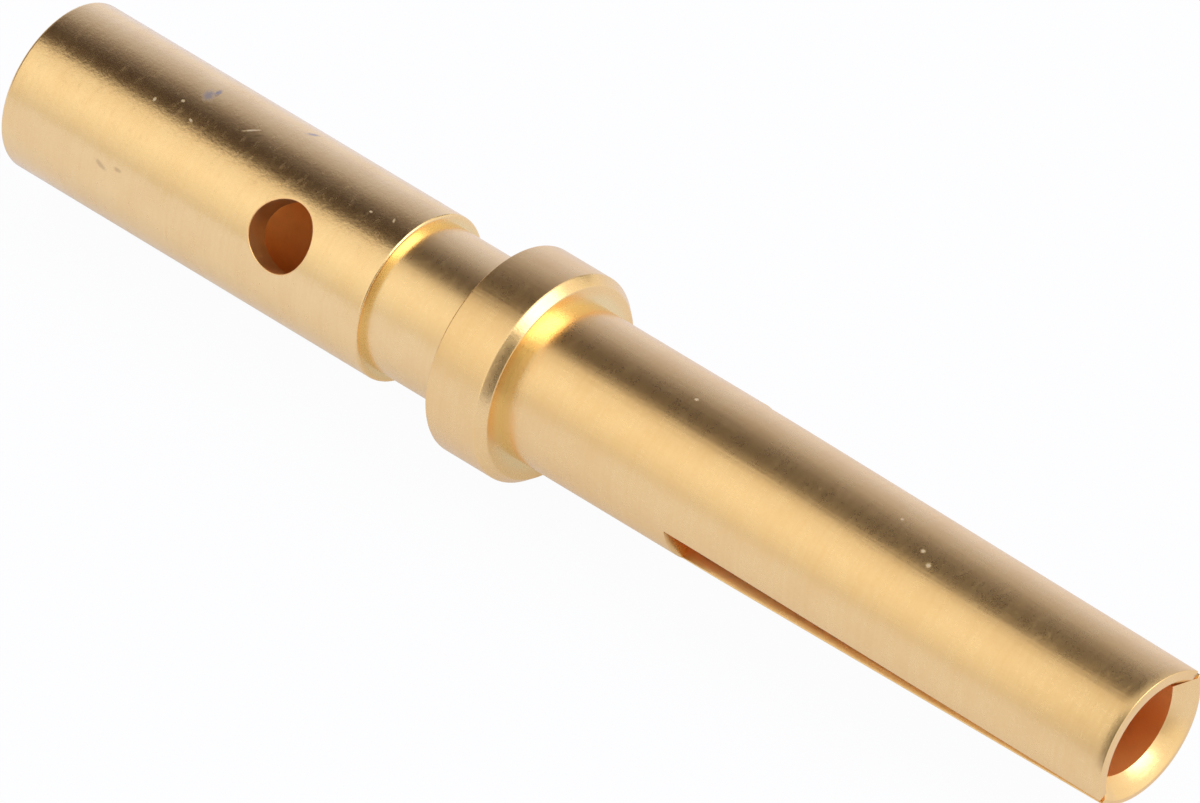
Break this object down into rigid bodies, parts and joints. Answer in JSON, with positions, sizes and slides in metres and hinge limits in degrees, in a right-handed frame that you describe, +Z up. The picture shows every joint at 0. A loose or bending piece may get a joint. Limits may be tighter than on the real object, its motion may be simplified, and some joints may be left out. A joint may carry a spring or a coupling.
{
  "type": "crimp socket contact",
  "caption": "Turned and gold-plated electrical socket contact: crimp barrel with inspection hole, neck, flange, and a slotted socket whose tines are pressed in at the mouth.",
  "frame": {"origin": "on the contact's axis, at the face of the crimp end", "axes": "+X along the contact's axis, from the crimp end towards the mouth; +Z up when the contact lies level on its flange, as in the picture"},
  "size_m": [0.0137, 0.0022, 0.0022],
  "materials": {
    "gold_plate": "satin gold plating over turned copper alloy"
  },
  "bodies": {
    "root": {"contact_body": "gold_plate"}
  },
  "joints": []
}
